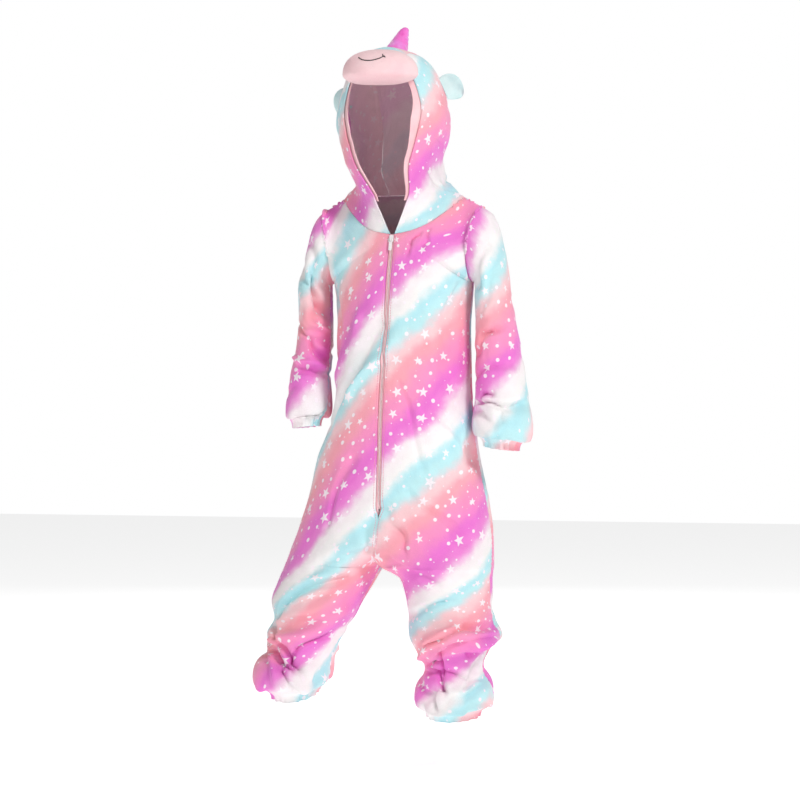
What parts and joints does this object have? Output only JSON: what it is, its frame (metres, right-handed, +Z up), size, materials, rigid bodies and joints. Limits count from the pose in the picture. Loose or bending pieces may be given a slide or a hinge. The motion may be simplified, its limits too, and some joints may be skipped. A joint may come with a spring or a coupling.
{
  "type": "hooded unicorn costume",
  "caption": "Child's hooded plush one-piece costume, worn form, with horn, ears, muzzle pad and a front zip.",
  "frame": {"origin": "base of the neck, midway between the shoulders that carry the suit", "axes": "+Z up, -Y to the front, +X to the wearer's left"},
  "size_m": [0.439, 0.2658, 1.1406],
  "materials": {
    "printed_fleece": "soft printed plush with a short nap",
    "pale_fleece": "plain pale pink plush",
    "mint_fleece": "plain pale mint plush",
    "horn_fleece": "printed plush, stuffed",
    "zip_tape": "woven polyester tape",
    "zip_coil": "moulded polyester coil",
    "zip_metal": "white enamelled zinc"
  },
  "bodies": {
    "suit": {"front_right": "printed_fleece", "front_left": "printed_fleece", "back_right": "printed_fleece", "back_left": "printed_fleece", "sleeve_right": "printed_fleece", "sleeve_left": "printed_fleece", "wrist_hem_right": "printed_fleece", "wrist_hem_left": "printed_fleece", "ankle_hem_right": "printed_fleece", "ankle_hem_left": "printed_fleece", "hood_side_right": "printed_fleece", "hood_side_left": "printed_fleece", "hood_crown": "printed_fleece", "hood_facing_right": "pale_fleece", "hood_facing_left": "pale_fleece", "muzzle": "pale_fleece", "horn": "horn_fleece", "ear_right": "mint_fleece", "ear_left": "mint_fleece", "zip_tape_right": "zip_tape", "zip_tape_left": "zip_tape", "zip_coil": "zip_coil", "zip_slider": "zip_metal"},
    "zip_pull": {"zip_pull": "zip_metal"}
  },
  "joints": [
    {"name": "pull_hinge", "type": "hinge", "parent": "suit", "child": "zip_pull", "pos_m": [0, -0.0824, -0.06022], "axis": [-1, 0, 0], "range_deg": [0, 150]}
  ]
}
